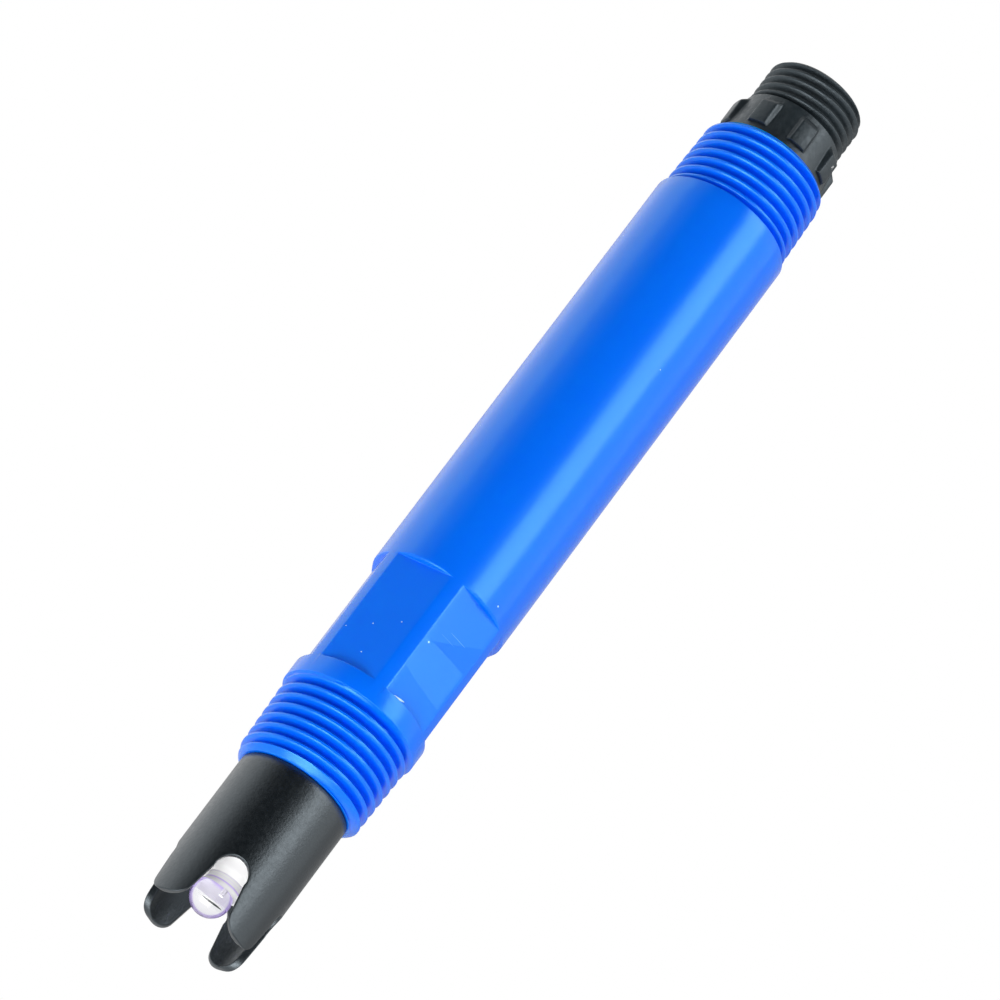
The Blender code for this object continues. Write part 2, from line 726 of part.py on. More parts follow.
def make_seals(materials):
    """O-rings between the body's bore and the two mouldings that push into it."""
    inner_r = BODY_BORE_R - CLOSE_GAP - 2 * ORING_SECTION_R
    for name, level in zip(("guard_oring_lower", "guard_oring_upper"), SHANK_ORING_LEVELS):
        make_oring(name, inner_r, level, ORING_SECTION_R, materials)
    make_oring("connector_oring", inner_r, BODY_HEAD - PLUG_ORING_INSET, ORING_SECTION_R, materials)


def make_materials():
    """All materials, by name."""
    return {
        "body_blue": make_material("body_blue", (0.0, 0.13, 1.0), 0.38),
        "guard_black": make_material("guard_black", (0.012, 0.015, 0.018), 0.45),
        "connector_black": make_material("connector_black", (0.02, 0.023, 0.026), 0.5),
        "clear_glass": make_material("clear_glass", (0.9, 0.88, 1.0), 0.02, transmission=1.0),
        "junction_white": make_material("junction_white", (0.85, 0.85, 0.84), 0.55),
        "seal_rubber": make_material("seal_rubber", (0.02, 0.02, 0.02), 0.7),
        "silver_wire": make_material("silver_wire", (0.75, 0.74, 0.72), 0.3, metallic=1.0),
        "element_ceramic": make_material("element_ceramic", (0.8, 0.78, 0.72), 0.5),
        "plug_plastic": make_material("plug_plastic", (0.3, 0.3, 0.32), 0.5),
        "potting_resin": make_material("potting_resin", (0.05, 0.05, 0.055), 0.3),
        "lead_insulation": make_material("lead_insulation", (0.5, 0.05, 0.04), 0.5),
        "insert_plastic": make_material("insert_plastic", (0.06, 0.06, 0.065), 0.45),
        "contact_gold": make_material("contact_gold", (0.9, 0.65, 0.25), 0.25, metallic=1.0),
    }


def main():
    for old in list(bpy.data.objects):
        bpy.data.objects.remove(old, do_unlink=True)
    materials = make_materials()
    make_body(materials)
    make_guard(materials)
    make_junction(materials)
    make_glass(materials)
    make_stopper(materials)
    make_wires(materials)
    make_element(materials)
    make_chamber_plug(materials)
    make_potting(materials)
    make_leads(materials)
    make_connector_shell(materials)
    make_contacts(materials)
    make_seals(materials)


main()
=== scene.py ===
import math

import bmesh
import bpy
from mathutils import Matrix, Vector


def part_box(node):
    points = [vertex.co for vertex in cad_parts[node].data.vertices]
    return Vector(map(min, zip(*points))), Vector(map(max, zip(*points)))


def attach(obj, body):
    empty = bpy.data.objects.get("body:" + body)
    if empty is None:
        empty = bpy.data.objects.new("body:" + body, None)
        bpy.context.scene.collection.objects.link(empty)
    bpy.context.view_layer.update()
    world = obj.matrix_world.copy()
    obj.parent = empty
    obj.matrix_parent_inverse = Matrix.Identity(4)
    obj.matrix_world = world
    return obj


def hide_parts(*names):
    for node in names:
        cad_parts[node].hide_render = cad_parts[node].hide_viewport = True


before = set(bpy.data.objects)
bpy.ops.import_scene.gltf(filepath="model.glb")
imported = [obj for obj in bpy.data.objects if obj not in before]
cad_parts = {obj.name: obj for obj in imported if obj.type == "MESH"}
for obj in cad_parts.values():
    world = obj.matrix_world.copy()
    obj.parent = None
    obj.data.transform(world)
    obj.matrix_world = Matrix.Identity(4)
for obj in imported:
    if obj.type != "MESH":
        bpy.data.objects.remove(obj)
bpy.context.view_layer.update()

MM = 0.001
TAU = 2 * math.pi
FRONT = math.radians(-90.0)

# Camera, from the photograph's perspective
CAMERA_TARGET = Vector((-1.75, 0.0, 42.05)) * MM
CAMERA_DISTANCE = 1042.3 * MM
CAMERA_RISE = math.radians(25.65)
CAMERA_ROLL_COS = 0.79908
CAMERA_ROLL_SIN = 0.60122
CAMERA_LENS = 263.19
CAMERA_SENSOR = 36.0
CAMERA_NEAR = 0.05
CAMERA_FAR = 20.0

# Mesh making
MERGE_DISTANCE = 0.0008 * MM
EDGE_BREAK = 0.1 * MM
EDGE_STEPS = 3
ROUND_COLUMNS = 96

# Sensor body
BARREL_R = 11.0 * MM
BARREL_TOP = 98.26 * MM
COLLAR_TOP = 3.15 * MM
FLAT_TOP = 22.8 * MM
FLAT_APOTHEM = 10.0 * MM
FLAT_TURN = math.radians(1.8)
FLAT_EDGE_BLEND = 0.035 * MM
FLAT_EDGE_REACH = 12
FLAT_EDGE_NUDGES = (-0.5, -0.25, 0.0, 0.25, 0.5)
WALL_FILLET = 0.15 * MM
WALL_FILLET_MOST = 0.35
WALL_BROW_MOST = 0.6
UPPER_BROW = 0.4 * MM
LOWER_BROW = 0.15 * MM
BODY_BORE_R = 7.5 * MM
BODY_FOOT_R = 9.2 * MM
BODY_FOOT_BREAK = 0.05 * MM
BODY_FOOT_RISE = 0.04 * MM
BODY_HEAD_R = 9.45 * MM
EDGE_ROUND = 0.12 * MM
CHAMFER_SLOPE = 0.95
RUN_OUT_SLOPE = 1.9
PIPE_PITCH = 25.4 / 14 * MM
PIPE_DEPTH = 1.33 * MM
PIPE_TAPER = 1 / 32
PIPE_CREST_FLAT = 0.12
PIPE_ROOT_FLAT = 0.04
LOWER_CREST_R = 10.66 * MM
UPPER_CREST_R = 10.54 * MM
UPPER_CREST_PHASE = 1.24 * MM
BROW_STEPS = 5
FLAT_ROWS = 24
BARREL_ROWS = 30
BODY_COLUMNS = 180
BODY_COLUMNS_CLOSEST = math.radians(0.12)
THREAD_ROWS = 14
THREAD_SOFTNESS = 0.055
THREAD_SAMPLES = 7

# Tip guard
GUARD_R = 8.9 * MM
GUARD_WALL = 1.0 * MM
GUARD_SHOULDER = -13.6 * MM
GUARD_LEDGE = -23.9 * MM
SLOT_ROOT = -29.4 * MM
SLOT_END_R = 2.5 * MM
SLOT_FLARE = math.radians(10.25)
TINE_CORNER_R = 2.5 * MM
SLOT_TURN = math.radians(-3.6)
SLOT_COUNT = 4
LIP = 0.16 * MM
LIP_STEPS = 3
TINE_COLUMNS = 28
GUARD_ROWS = 12
SHANK_R = 7.2 * MM
SHANK_CHAMBER_R = 5.0 * MM
HEAD_CHAMBER_R = 6.9 * MM
HEAD_CHAMBER_TOP = -15.1 * MM
GROOVE_SPARE = 0.1 * MM
GROOVE_FLOOR_R = 6.3 * MM

# Junction and glass
STEM_R = 2.95 * MM
STEM_BORE_R = 1.25 * MM
STEM_SHOWING = 1.0 * MM
STEM_LEAN = 0.15
NECK_LENGTH = 2.2 * MM
NOSE_TIP_R = 3.3 * MM
NOSE_ROOT_R = 3.8 * MM
# Rounded foot of the nose, as distances past its root's radius and below the ledge, in mm
NOSE_FILLET = ((-0.05, 0.25), (0.1, 0.06), (0.3, 0.0))
JUNCTION_R = 7.8 * MM
JUNCTION_HOLE_R = 3.05 * MM
BULB_R = 3.08 * MM
BULB_WALL = 0.35 * MM
BULB_OFFSET = -0.7 * MM
BULB_SHOULDER = math.radians(20)
BULB_STEPS = 40
CAVITY_STEPS = 44
SHOULDER_STEPS = 6

# Connector
RING_FOOT = 111.17 * MM
RING_TOP = 118.40 * MM
RING_FOOT_R = 8.85 * MM
RING_TOP_R = 8.15 * MM
LUG_R = 9.3 * MM
LUG_COUNT = 8
LUG_TURN = math.radians(10.3)
LUG_HALF = math.radians(9.9)
LUG_EDGE = math.radians(4.6)
LUG_EDGE_STEPS = 8
LUG_LOW = 112.37 * MM
LUG_HIGH = 116.37 * MM
LUG_END = 117.47 * MM
# Rows up a lug. At the foot, lift and rise in mm. At the top, lift and share of the slope
LUG_FOOT_ROWS = ((0.0, 0.0), (0.5, 0.04), (0.85, 0.16), (1.0, 0.4))
LUG_FACE_SHARES = (0.3, 0.6, 0.95)
LUG_TOP_ROWS = ((0.94, 0.03), (0.5, 0.48), (0.08, 0.92), (0.0, 1.0))
CONNECTOR_COLUMNS = 160
CONNECTOR_COLUMNS_CLOSEST = math.radians(0.1)
PLUG_THREAD_R = 7.97 * MM
PLUG_THREAD_PITCH = 1.5 * MM
PLUG_THREAD_DEPTH = 0.92 * MM
PLUG_THREAD_PHASE = 1.15 * MM
PLUG_CREST_FLAT = 0.08
PLUG_ROOT_FLAT = 0.06
PLUG_END_STEP = 0.5 * MM
PLUG_END_SLOPE = 0.9
SOCKET_R = 6.0 * MM
SOCKET_SEAT = 112.0 * MM
SEAT_BORE_R = 5.2 * MM

# Levels read from the frame
BODY_FOOT, BODY_HEAD = (corner.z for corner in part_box("sensor_body"))
GUARD_TIP, SHANK_TOP = (corner.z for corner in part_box("tip_guard"))
NOSE_FOOT, JUNCTION_TOP = (corner.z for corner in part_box("reference_junction"))
BULB_FOOT, STEM_TOP = (corner.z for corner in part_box("glass_electrode"))
PLUG_SHANK_FOOT, CONNECTOR_TOP = (corner.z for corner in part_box("connector_shell"))
BULB_CENTRE = BULB_FOOT + BULB_R
STEM_FOOT = NOSE_FOOT - STEM_SHOWING
SHOULDER_Z = BULB_CENTRE + BULB_R * math.sin(BULB_SHOULDER)

# Painted white glass, standing in for the light seen through the clear stem, and painted lavender lines
# round it, standing in for the glass rim seen edge-on, as height, half width and colour
PAINTED_LIGHT_GLASS_COLOUR = (0.96, 0.96, 0.98)
PAINTED_RIM_STRENGTH = 0.8
PAINTED_RIM_LINES = (
    (STEM_FOOT - 0.08 * MM, 0.18 * MM, (0.6, 0.42, 1.0)),
    (STEM_FOOT + 0.45 * MM, 0.08 * MM, (0.9, 0.85, 1.0)),
    (NOSE_FOOT - 0.08 * MM, 0.1 * MM, (0.88, 0.82, 1.0)),
)


def mix(a, b, share):
    return a + (b - a) * share


def smooth_share(share):
    """0 to 1 with soft ends."""
    share = min(max(share, 0.0), 1.0)
    return share * share * (3 - 2 * share)


def quarter(steps):
    """Angles from 0 to a right angle."""
    return [math.pi / 2 * k / steps for k in range(steps + 1)]


def even_angles(count):
    return [FRONT + TAU * i / count for i in range(count)]


def merged_angles(count, extra, closest):
    """Even columns and some extra ones, sorted, with those that lie too close left out."""
    wrapped = [FRONT + (a - FRONT) % TAU for a in even_angles(count) + extra]
    kept = []
    for a in sorted(wrapped):
        if not kept or a - kept[-1] > closest:
            kept.append(a)
    return kept


def value_at(item, angle):
    return item(angle) if callable(item) else item


def add_row(bm, angles, radius, z):
    """A ring of vertices. The radius and the height are numbers or functions of the angle."""
    row = []
    for a in angles:
        r = value_at(radius, a)
        row.append(bm.verts.new((r * math.cos(a), r * math.sin(a), value_at(z, a))))
    return row


def add_face(bm, *corners):
    """A face between the corners that differ, if it isn't there yet."""
    distinct = list(dict.fromkeys(corners))
    if len(distinct) > 2 and bm.faces.get(distinct) is None:
        bm.faces.new(distinct)


def bridge(bm, low, high):
    for i in range(len(low)):
        j = (i + 1) % len(low)
        add_face(bm, low[i], low[j], high[j], high[i])


def stack(bm, angles, rows):
    """Rings bridged one after the other. Each row is (radius, z)."""
    rings = [add_row(bm, angles, radius, z) for radius, z in rows]
    for low, high in zip(rings, rings[1:]):
        bridge(bm, low, high)
    return rings


def add_piece(bm, name, material, node, smooth_angle=40.0):
    """Makes the object from the bmesh and has it stand for a node."""
    bmesh.ops.remove_doubles(bm, verts=bm.verts, dist=MERGE_DISTANCE)
    bmesh.ops.dissolve_degenerate(bm, edges=bm.edges, dist=MERGE_DISTANCE)
    bmesh.ops.recalc_face_normals(bm, faces=bm.faces)
    mesh = bpy.data.meshes.new(name)
    bm.to_mesh(mesh)
    bm.free()
    mesh.shade_smooth()
    mesh.set_sharp_from_angle(angle=math.radians(smooth_angle))
    mesh.materials.append(material)
    piece = bpy.data.objects.new(name, mesh)
    bpy.context.scene.collection.objects.link(piece)
    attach(piece, "root")
    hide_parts(node)
    return piece


def thread_form(share, crest_flat, root_flat):
    """Depth share of a rounded vee thread: 0 on the crest, 1 in the root."""
    off = abs(((share + 0.5) % 1.0) - 0.5)
    total = 0.0
    for i in range(THREAD_SAMPLES):
        shifted = abs(off + THREAD_SOFTNESS * (2 * i / (THREAD_SAMPLES - 1) - 1))
        folded = min(shifted, 1.0 - shifted)
        ramp = (folded - crest_flat) / (0.5 - root_flat - crest_flat)
        total += min(max(ramp, 0.0), 1.0)
    return total / THREAD_SAMPLES


def thread_band(bm, angles, pitch, crest_z, low, high, radius_at):
    """A right-handed thread between two rings, as a grid that winds with the helix."""
    first = math.floor((low[1] - crest_z) / pitch) - 1
    last = math.ceil((high[1] - crest_z) / pitch)
    rows = []
    for turn in range(first, last + 1):
        for k in range(THREAD_ROWS):
            share = k / THREAD_ROWS
            row = []
            for a in angles:
                z = crest_z + pitch * (turn + share + (a - angles[0]) / TAU)
                radius = radius_at(z, share)
                if z <= low[1]:
                    radius, z = low
                if z >= high[1]:
                    radius, z = high
                row.append(bm.verts.new((radius * math.cos(a), radius * math.sin(a), z)))
            rows.append(row)
    rows += [add_row(bm, angles, *high)] * (THREAD_ROWS + 1)
    for k in range(len(rows) - THREAD_ROWS - 1):
        for j in range(len(angles)):
            following = (j + 1) % len(angles)
            skip = THREAD_ROWS if following == 0 else 0
            low_next, high_next = rows[k + skip][following], rows[k + 1 + skip][following]
            add_face(bm, rows[k][j], low_next, high_next, rows[k + 1][j])


def make_camera():
    forward = Vector((0.0, math.cos(CAMERA_RISE), math.sin(CAMERA_RISE)))
    upward = Vector((0.0, -math.sin(CAMERA_RISE), math.cos(CAMERA_RISE)))
    sideways = Vector((1.0, 0.0, 0.0))
    right = CAMERA_ROLL_COS * sideways + CAMERA_ROLL_SIN * upward
    up = CAMERA_ROLL_COS * upward - CAMERA_ROLL_SIN * sideways
    data = bpy.data.cameras.new("camera")
    data.lens = CAMERA_LENS
    data.sensor_width = CAMERA_SENSOR
    data.clip_start = CAMERA_NEAR
    data.clip_end = CAMERA_FAR
    camera = bpy.data.objects.new("camera", data)
    bpy.context.scene.collection.objects.link(camera)
    turn = Matrix((right, up, -forward)).transposed().to_4x4()
    camera.matrix_world = Matrix.Translation(CAMERA_TARGET - CAMERA_DISTANCE * forward) @ turn
    bpy.context.scene.camera = camera


def grey(value):
    return (value, value, value)


def new_material(name):
    """A material with its Principled shader, ready for nodes."""
    material = bpy.data.materials.new(name)
    material.use_nodes = True
    nodes = material.node_tree.nodes
    return material, nodes, material.node_tree.links, nodes["Principled BSDF"]


def add_math(nodes, links, operation, first, second=None):
    """A Math node. Each input is a socket or a number."""
    node = nodes.new("ShaderNodeMath")
    node.operation = operation
    for socket, value in zip(node.inputs, (first, second)):
        if isinstance(value, (int, float)):
            socket.default_value = value
        elif value is not None:
            links.new(value, socket)
    return node.outputs["Value"]


def add_noise(nodes, links, scale, detail=4.0, stretch=(1.0, 1.0, 1.0)):
    """Noise in object space, in features per metre."""
    where = nodes.new("ShaderNodeTexCoord")
    mapping = nodes.new("ShaderNodeMapping")
    mapping.inputs["Scale"].default_value = stretch
    noise = nodes.new("ShaderNodeTexNoise")
    noise.inputs["Scale"].default_value = scale
    noise.inputs["Detail"].default_value = detail
    noise.inputs["Roughness"].default_value = 0.55
    links.new(where.outputs["Object"], mapping.inputs["Vector"])
    links.new(mapping.outputs["Vector"], noise.inputs["Vector"])
    return noise.outputs["Fac"]


def add_ramp(nodes, links, source, stops):
    """A colour ramp. stops are (position, colour)."""
    ramp = nodes.new("ShaderNodeValToRGB")
    elements = ramp.color_ramp.elements
    while len(elements) > 1:
        elements.remove(elements[-1])
    elements[0].position = stops[0][0]
    elements[0].color = (*stops[0][1], 1.0)
    for position, colour in stops[1:]:
        element = elements.new(position)
        element.color = (*colour, 1.0)
    links.new(source, ramp.inputs["Fac"])
    return ramp.outputs["Color"]


def add_grain(nodes, links, scale, distance, under=None):
    """A fine grain as a bump, on top of another normal where one is given."""
    bump = nodes.new("ShaderNodeBump")
    bump.inputs["Strength"].default_value = 0.25
    bump.inputs["Distance"].default_value = distance
    links.new(add_noise(nodes, links, scale, detail=2.0), bump.inputs["Height"])
    if under is not None:
        links.new(under, bump.inputs["Normal"])
    return bump.outputs["Normal"]


def add_dust(nodes, links, base, scale, size, share, colour):
    """Sparse specks of a colour over a base colour: few cells of a scatter hold one."""
    where = nodes.new("ShaderNodeTexCoord")
    cells = nodes.new("ShaderNodeTexVoronoi")
    cells.inputs["Scale"].default_value = scale
    links.new(where.outputs["Object"], cells.inputs["Vector"])
    chosen = nodes.new("ShaderNodeSeparateColor")
    links.new(cells.outputs["Color"], chosen.inputs["Color"])
    near = add_math(nodes, links, "LESS_THAN", cells.outputs["Distance"], size)
    few = add_math(nodes, links, "LESS_THAN", chosen.outputs["Red"], share)
    return add_tint(nodes, links, base, add_math(nodes, links, "MULTIPLY", near, few), colour)


def add_tint(nodes, links, base, share, colour):
    """Mixes a colour over a base colour where the share is 1."""
    tint = nodes.new("ShaderNodeMix")
    tint.data_type = "RGBA"
    links.new(share, tint.inputs["Factor"])
    links.new(base, tint.inputs["A"])
    tint.inputs["B"].default_value = (*colour, 1.0)
    return tint.outputs["Result"]


def plastic(
    name, colour, roughness, spread=0.05, roughness_spread=0.05, grain=2500.0, grain_depth=0.02 * MM
):
    """Moulded plastic: faint clouds in its colour, a mottled gloss and a fine grain."""
    material, nodes, links, shader = new_material(name)
    low = tuple(max(c * (1 - spread), 0.0) for c in colour)
    high = tuple(min(c * (1 + spread), 1.0) for c in colour)
    clouds = add_noise(nodes, links, scale=120.0, detail=5.0)
    base = add_ramp(nodes, links, clouds, [(0.3, low), (0.7, high)])
    links.new(base, shader.inputs["Base Color"])
    mottle = add_noise(nodes, links, scale=0.6 * grain, detail=3.0)
    dull, bright = roughness + roughness_spread, roughness - roughness_spread
    gloss = add_ramp(nodes, links, mottle, [(0.3, grey(bright)), (0.7, grey(dull))])
    links.new(gloss, shader.inputs["Roughness"])
    links.new(add_grain(nodes, links, grain, grain_depth), shader.inputs["Normal"])
    return material


def black_plastic(name, colour, roughness, specular, scratches=(), **finish):
    """Black plastic with a cool sheen, sparse pale dust and, where there are some, scratches."""
    material = plastic(name, colour, roughness, spread=0.2, **finish)
    nodes, links = material.node_tree.nodes, material.node_tree.links
    shader = nodes["Principled BSDF"]
    shader.inputs["Specular IOR Level"].default_value = specular
    shader.inputs["Specular Tint"].default_value = (0.8, 0.92, 1.0, 1.0)
    base = shader.inputs["Base Color"].links[0].from_socket
    base = add_dust(nodes, links, base, scale=420.0, size=0.035, share=0.03, colour=grey(0.6))
    where = nodes.new("ShaderNodeTexCoord").outputs["Object"]
    for start, end, width, mark_colour in scratches:
        share = add_scratch(nodes, links, where, on_surface(*start), on_surface(*end), width * MM)
        base = add_tint(nodes, links, base, share, mark_colour)
    links.new(base, shader.inputs["Base Color"])
    return material


# Specks, as degrees from the front, height, radius and size in mm
BODY_SPECKS = (
    (12.1, 12.87, 10.62, 0.15),
    (39.7, 24.55, 11.0, 0.13),
    (-14.0, 13.02, 10.32, 0.1),
    (-33.6, 10.94, 10.04, 0.1),
    (-50.9, 8.88, 10.84, 0.08),
    (-26.7, 6.14, 10.0, 0.1),
)
# Scratches, as start, end, width and colour, in the same measures
BODY_SCRATCHES = (
    ((13.4, 3.15, 10.6), (26.7, 3.88, 10.04), 0.3, (0.75, 0.95, 1.0)),
    ((23.3, 16.56, 10.11), (42.0, 16.77, 10.16), 0.07, (0.1, 0.32, 1.0)),
    ((17.0, 15.3, 10.34), (34.0, 15.5, 10.01), 0.05, (0.05, 0.26, 1.0)),
)
LUG_SCRATCHES = (
    ((56.3, 115.0, 9.3), (59.1, 115.55, 9.3), 0.16, grey(0.7)),
    ((56.5, 115.6, 9.3), (58.7, 114.95, 9.3), 0.12, grey(0.5)),
)
SPECK_COLOUR = (0.55, 0.8, 1.0)

# Cutter bands on the flat that faces the light: slope and height of each lower edge, and change of lean
FACET_FACE = math.radians(31.8)
FACET_MATCH = 0.9995
FACET_LEAN = -0.005
FACET_WAVER = 0.5 * MM
FACETS = (
    (-0.09, 8.2 * MM, -0.045),
    (0.107, 13.27 * MM, 0.095),
    (0.84, 11.52 * MM, -0.075),
)


def on_surface(degrees, z_mm, radius_mm):
    a = math.radians(degrees)
    return Vector((radius_mm * math.sin(a), -radius_mm * math.cos(a), z_mm)) * MM


def add_distance(nodes, links, position, point):
    node = nodes.new("ShaderNodeVectorMath")
    node.operation = "DISTANCE"
    links.new(position, node.inputs[0])
    node.inputs[1].default_value = point
    return node.outputs["Value"]


def add_facets(nodes, links, position):
    """Surface normal. On the wrench flat that faces the light it leans a little from band to band."""
    parts = nodes.new("ShaderNodeSeparateXYZ")
    links.new(position, parts.inputs["Vector"])
    geometry = nodes.new("ShaderNodeNewGeometry")
    face = nodes.new("ShaderNodeVectorMath")
    face.operation = "DOT_PRODUCT"
    links.new(geometry.outputs["Normal"], face.inputs[0])
    face.inputs[1].default_value = (math.sin(FACET_FACE), -math.cos(FACET_FACE), 0.0)
    mask = add_math(nodes, links, "GREATER_THAN", face.outputs["Value"], FACET_MATCH)
    below = add_math(nodes, links, "LESS_THAN", parts.outputs["Z"], FLAT_TOP)
    mask = add_math(nodes, links, "MULTIPLY", mask, below)
    noise = add_noise(nodes, links, scale=250.0, detail=1.0)
    waver = add_math(nodes, links, "MULTIPLY", noise, FACET_WAVER)
    along = add_math(nodes, links, "ADD", parts.outputs["Z"], waver)
    lean = FACET_LEAN
    for slope, height, change in FACETS:
        rise = add_math(nodes, links, "MULTIPLY", parts.outputs["X"], slope)
        edge = add_math(nodes, links, "SUBTRACT", along, rise)
        beyond = add_math(nodes, links, "GREATER_THAN", edge, height)
        lean = add_math(nodes, links, "ADD", lean, add_math(nodes, links, "MULTIPLY", beyond, change))
    across = nodes.new("ShaderNodeVectorMath")
    across.operation = "SCALE"
    across.inputs[0].default_value = (math.cos(FACET_FACE), math.sin(FACET_FACE), 0.0)
    links.new(add_math(nodes, links, "MULTIPLY", lean, mask), across.inputs["Scale"])
    leaned = nodes.new("ShaderNodeVectorMath")
    links.new(geometry.outputs["Normal"], leaned.inputs[0])
    links.new(across.outputs["Vector"], leaned.inputs[1])
    unit = nodes.new("ShaderNodeVectorMath")
    unit.operation = "NORMALIZE"
    links.new(leaned.outputs["Vector"], unit.inputs[0])
    return unit.outputs["Vector"]


def add_scratch(nodes, links, position, start, end, width):
    """Share that is 1 within a long narrow ellipse between two points of the surface."""
    away = [add_distance(nodes, links, position, point) for point in (start, end)]
    both = add_math(nodes, links, "ADD", *away)
    return add_math(nodes, links, "LESS_THAN", both, math.hypot((end - start).length, width))


def make_blue():
    """Blue moulded plastic with the tool marks of a milled flat, scratches and specks."""
    material, nodes, links, shader = new_material("body_blue")
    where = nodes.new("ShaderNodeTexCoord").outputs["Object"]
    clouds = add_noise(nodes, links, scale=60.0)
    base = add_ramp(nodes, links, clouds, [(0.3, (0.0, 0.153, 0.98)), (0.7, (0.0, 0.165, 1.0))])
    for degrees, z, radius, size in BODY_SPECKS:
        away = add_distance(nodes, links, where, on_surface(degrees, z, radius))
        speck = add_math(nodes, links, "LESS_THAN", away, size * MM)
        base = add_tint(nodes, links, base, speck, SPECK_COLOUR)
    for start, end, width, colour in BODY_SCRATCHES:
        share = add_scratch(nodes, links, where, on_surface(*start), on_surface(*end), width * MM)
        base = add_tint(nodes, links, base, share, colour)
    base = add_dust(nodes, links, base, scale=260.0, size=0.02, share=0.5, colour=SPECK_COLOUR)
    links.new(base, shader.inputs["Base Color"])
    streaks = add_noise(nodes, links, scale=300.0, detail=3.0, stretch=(1.0, 1.0, 0.15))
    gloss = add_ramp(nodes, links, streaks, [(0.3, grey(0.22)), (0.7, grey(0.27))])
    links.new(gloss, shader.inputs["Roughness"])
    shader.inputs["Specular IOR Level"].default_value = 0.7
    shader.inputs["Specular Tint"].default_value = (0.33, 1.0, 1.0, 1.0)
    shader.inputs["Subsurface Weight"].default_value = 0.35
    shader.inputs["Subsurface Radius"].default_value = (0.2, 0.6, 1.0)
    shader.inputs["Subsurface Scale"].default_value = 1.2 * MM
    facets = add_facets(nodes, links, where)
    grain = add_grain(nodes, links, scale=2600.0, distance=0.02 * MM, under=facets)
    links.new(grain, shader.inputs["Normal"])
    return material


def make_glass_material(name, ior, rim_start, rim_end):
    """Clear glass with a lavender sheen where it is seen at a slant."""
    material, nodes, links, shader = new_material(name)
    facing = nodes.new("ShaderNodeLayerWeight")
    facing.inputs["Blend"].default_value = 0.5
    stops = [
        (0.0, grey(1.0)),
        (rim_start, (0.98, 0.98, 1.0)),
        (rim_end, (0.74, 0.66, 0.93)),
        (1.0, (0.64, 0.54, 0.84)),
    ]
    rim = add_ramp(nodes, links, facing.outputs["Facing"], stops)
    links.new(rim, shader.inputs["Base Color"])
    shader.inputs["Roughness"].default_value = 0.0
    shader.inputs["Transmission Weight"].default_value = 1.0
    shader.inputs["IOR"].default_value = ior
    return material


def make_painted_light_glass():
    """Opaque white glass with painted lavender lines where the bulb is fused on and where the stem is
    seated. The white is painted light, standing in for the light seen through the clear stem, and the
    lines are a painted rim, standing in for the glass seen edge-on.
    """
    # Painted light: opaque white standing in for the light seen through the clear glass.
    material = plastic("painted_light_glass", PAINTED_LIGHT_GLASS_COLOUR, 0.8, spread=0.02)
    nodes, links = material.node_tree.nodes, material.node_tree.links
    shader = nodes["Principled BSDF"]
    parts = nodes.new("ShaderNodeSeparateXYZ")
    links.new(nodes.new("ShaderNodeTexCoord").outputs["Object"], parts.inputs["Vector"])
    base = shader.inputs["Base Color"].links[0].from_socket
    # Painted rim: lavender lines at these heights standing in for the glass seen edge-on.
    for z, half_width, colour in PAINTED_RIM_LINES:
        offset = add_math(nodes, links, "SUBTRACT", parts.outputs["Z"], z)
        away = add_math(nodes, links, "ABSOLUTE", offset)
        fade = add_math(nodes, links, "DIVIDE", away, half_width)
        share = add_math(nodes, links, "SUBTRACT", 1.0, fade)
        share = add_math(nodes, links, "MINIMUM", share, PAINTED_RIM_STRENGTH)
        base = add_tint(nodes, links, base, share, colour)
    links.new(base, shader.inputs["Base Color"])
    return material


def make_metal(name, colour, roughness):
    material = plastic(name, colour, roughness, spread=0.04, grain=3000.0)
    material.node_tree.nodes["Principled BSDF"].inputs["Metallic"].default_value = 1.0
    return material


def flat_radius(angle):
    """Radius of the wrench section at an angle: the hexagon held inside the barrel, with a soft edge."""
    turned = (angle - FRONT - FLAT_TURN - math.pi / 6) % (math.pi / 3)
    off = min(turned, math.pi / 3 - turned)
    plane = FLAT_APOTHEM / math.cos(off)
    gap = (plane - BARREL_R) / FLAT_EDGE_BLEND
    if abs(gap) > FLAT_EDGE_REACH:
        return min(plane, BARREL_R)
    return BARREL_R - FLAT_EDGE_BLEND * math.log(1 + math.exp(-gap))


def end_wall(z_wall, direction, brow):
    """Rows from the flats out to the barrel at one end: soft foot, wall and rounded brow."""
    def fillet_at(a):
        return min(WALL_FILLET, WALL_FILLET_MOST * (BARREL_R - flat_radius(a)))

    def brow_at(a):
        return min(brow, WALL_BROW_MOST * (BARREL_R - flat_radius(a)))

    rows = []
    for t in quarter(EDGE_STEPS):
        rows.append((
            lambda a, t=t: flat_radius(a) + fillet_at(a) * (1 - math.cos(t)),
            lambda a, t=t: z_wall - direction * fillet_at(a) * (1 - math.sin(t)),
        ))
    for t in quarter(BROW_STEPS):
        rows.append((
            lambda a, t=t: BARREL_R - brow_at(a) * (1 - math.sin(t)),
            lambda a, t=t: z_wall + direction * brow_at(a) * (1 - math.cos(t)),
        ))
    return rows if direction > 0 else rows[::-1]


def body_angles():
    """Even columns, and a few more at the edges of the flats."""
    half = math.acos(FLAT_APOTHEM / BARREL_R)
    extra = []
    for k in range(6):
        middle = FRONT + FLAT_TURN + math.pi / 6 + k * math.pi / 3
        for side in (-1, 1):
            edge = middle + side * half
            extra += [edge + math.radians(nudge) for nudge in FLAT_EDGE_NUDGES]
    return merged_angles(BODY_COLUMNS, extra, BODY_COLUMNS_CLOSEST)


def pipe_radius(z, share, large_r, large_z, end_r, end_z):
    depth = PIPE_DEPTH * thread_form(share, PIPE_CREST_FLAT, PIPE_ROOT_FLAT)
    radius = large_r - PIPE_TAPER * abs(z - large_z) - depth
    return min(radius, end_r + CHAMFER_SLOPE * abs(z - end_z))


